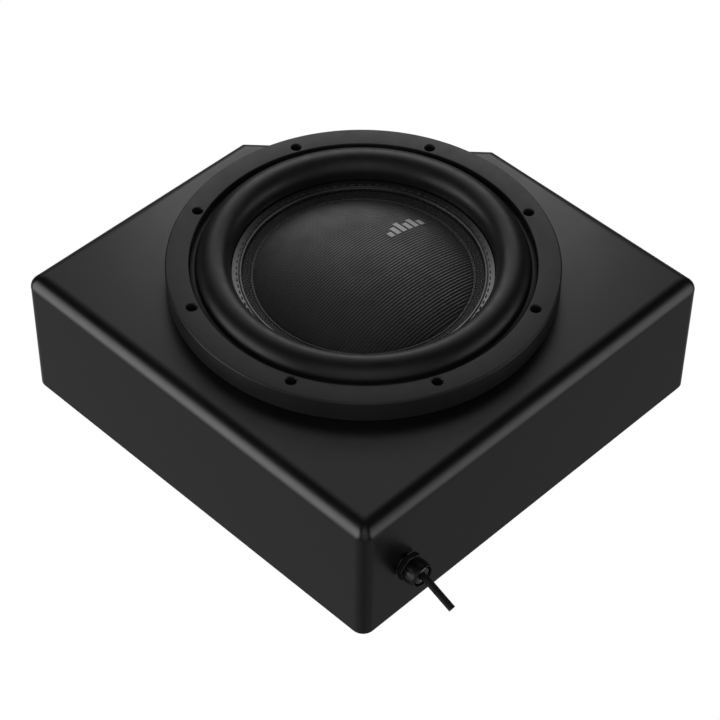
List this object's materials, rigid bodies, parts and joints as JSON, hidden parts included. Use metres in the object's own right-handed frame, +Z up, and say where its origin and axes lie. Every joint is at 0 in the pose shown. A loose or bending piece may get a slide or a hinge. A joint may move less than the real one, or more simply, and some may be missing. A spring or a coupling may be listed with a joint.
{
  "type": "powered car subwoofer",
  "caption": "Low square powered subwoofer for a car: chamfered moulded box, driver on top, internal amplifier, cable gland.",
  "frame": {"origin": "middle of the box's base, on the surface it stands on", "axes": "+Z up out of the top panel, +X out of the side with the cable gland, +Y towards the side that the chamfered corner shares with the rear"},
  "size_m": [0.3779, 0.334, 0.1292],
  "materials": {
    "box_black": "satin black, very fine grain",
    "base_metal": "black powder coat",
    "gasket_foam": "closed-cell foam",
    "black_screws": "black oxide",
    "insert_brass": "machined",
    "frame_paint": "black coated casting",
    "trim_rubber": "moulded, fine grain",
    "surround_rubber": "soft satin rubber",
    "edge_rubber": "smooth satin",
    "stitch_thread": "grey sewn thread",
    "cone_fabric": "woven fibre cone",
    "cap_fabric": "diagonal twill, resin coated",
    "former_aluminium": "thin sheet",
    "copper_wire": "enamelled copper",
    "spider_cloth": "resin-set woven cloth",
    "motor_steel": "zinc plated",
    "ferrite": "ground ferrite",
    "boot_rubber": "moulded",
    "terminal_brass": "plated tabs on a black board",
    "lead_red": "wire insulation",
    "board_green": "solder resist",
    "sink_black": "black anodised",
    "chip_black": "moulded package",
    "core_green": "coated ferrite core",
    "capacitor_sleeve": "shrunk sleeve",
    "terminal_green": "moulded",
    "bright_steel": "zinc plated",
    "fuse_red": "clear moulded",
    "trimmer_blue": "moulded",
    "knob_white": "moulded",
    "gland_nylon": "black nylon",
    "seal_rubber": "glossy rubber",
    "cable_jacket": "black jacket",
    "cable_braid": "braided sleeve"
  },
  "bodies": {
    "enclosure": {"enclosure_shell": "box_black", "base_plate": "base_metal", "base_gasket": "gasket_foam", "base_screws": "black_screws", "mounting_inserts": "insert_brass", "driver_gasket": "gasket_foam", "basket": "frame_paint", "trim_ring": "trim_rubber", "driver_screws": "black_screws", "driver_inserts": "insert_brass", "surround": "surround_rubber", "spider": "spider_cloth", "top_plate": "motor_steel", "magnet": "ferrite", "t_yoke": "motor_steel", "shorting_ring": "former_aluminium", "magnet_boot": "boot_rubber", "speaker_terminals": "terminal_brass", "tinsel_leads": "copper_wire", "speaker_leads": "lead_red", "amp_board": "board_green", "board_standoffs": "insert_brass", "board_screws": "bright_steel", "heat_sink": "sink_black", "power_transistors": "chip_black", "transformer_core": "core_green", "transformer_winding": "copper_wire", "output_inductor": "copper_wire", "capacitors": "capacitor_sleeve", "control_chips": "chip_black", "terminal_block": "terminal_green", "terminal_screws": "bright_steel", "fuse_holder": "chip_black", "blade_fuse": "fuse_red", "gain_trimmer": "trimmer_blue", "crossover_trimmer": "trimmer_blue", "phase_switch": "bright_steel", "gland_body": "gland_nylon", "gland_washer": "seal_rubber", "gland_locknut": "gland_nylon", "gland_seal": "seal_rubber", "gland_nut": "gland_nylon", "inner_cable": "cable_jacket", "harness_wires": "lead_red", "cord": "cable_braid"},
    "cone_assembly": {"edge_ring": "edge_rubber", "edge_stitching": "stitch_thread", "cone": "cone_fabric", "dust_cap": "cap_fabric", "voice_coil_former": "former_aluminium", "voice_coil": "copper_wire"},
    "gain_control": {"gain_knob": "knob_white"},
    "crossover_control": {"crossover_knob": "knob_white"},
    "phase_control": {"phase_slider": "knob_white"}
  },
  "joints": [
    {"name": "cone_excursion", "type": "slide", "parent": "enclosure", "child": "cone_assembly", "axis": [0, 0, 1], "range_m": [-0.01, 0.01], "stiffness_N_per_m": 7000, "deforming": ["surround", "spider", "tinsel_leads"]},
    {"name": "gain_turn", "type": "hinge", "parent": "enclosure", "child": "gain_control", "pos_m": [0.115, -0.123, 0.0176], "axis": [0, 0, 1], "range_deg": [-140, 140]},
    {"name": "crossover_turn", "type": "hinge", "parent": "enclosure", "child": "crossover_control", "pos_m": [0.115, -0.11, 0.0176], "axis": [0, 0, 1], "range_deg": [-140, 140]},
    {"name": "phase_slide", "type": "slide", "parent": "enclosure", "child": "phase_control", "axis": [0, 1, 0], "range_m": [0, 0.004]}
  ]
}
